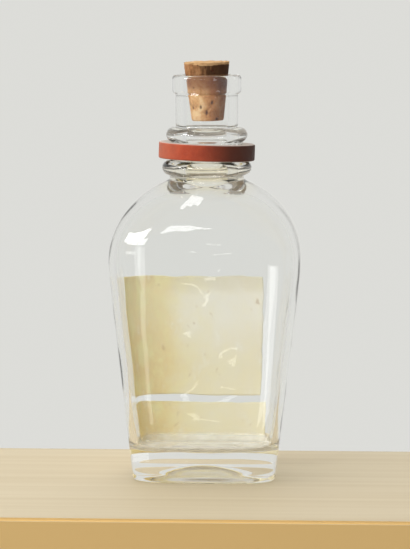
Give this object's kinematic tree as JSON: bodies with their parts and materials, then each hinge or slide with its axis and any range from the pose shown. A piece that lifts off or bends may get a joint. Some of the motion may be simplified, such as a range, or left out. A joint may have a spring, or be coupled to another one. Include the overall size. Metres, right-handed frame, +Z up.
{
  "type": "corked flask with labels",
  "caption": "Empty clear glass flask, flattened and tapering to its foot, with a tapered cork, a rubber ring round the neck and paper labels on the back.",
  "frame": {"origin": "centre of the foot, on the surface that the flask stands on", "axes": "+Z up along the neck, X across the wide faces, the labels on the +Y face, the bare front face towards -Y"},
  "size_m": [0.095, 0.0531, 0.2068],
  "materials": {
    "clear_glass": "polished, slightly wavy old glass",
    "natural_cork": "matte natural cork with dark pores and a crumbling top",
    "red_rubber": "matte, dusty, perished red-brown rubber",
    "aged_paper": "matte yellowed paper, bare"
  },
  "bodies": {
    "flask": {"bottle": "clear_glass", "rubber_ring": "red_rubber", "main_label": "aged_paper", "lower_label": "aged_paper"},
    "stopper": {"cork_stopper": "natural_cork"}
  },
  "joints": [
    {"name": "cork_pull", "type": "slide", "parent": "flask", "child": "stopper", "axis": [0, 0, 1], "range_m": [0, 0.05]}
  ]
}
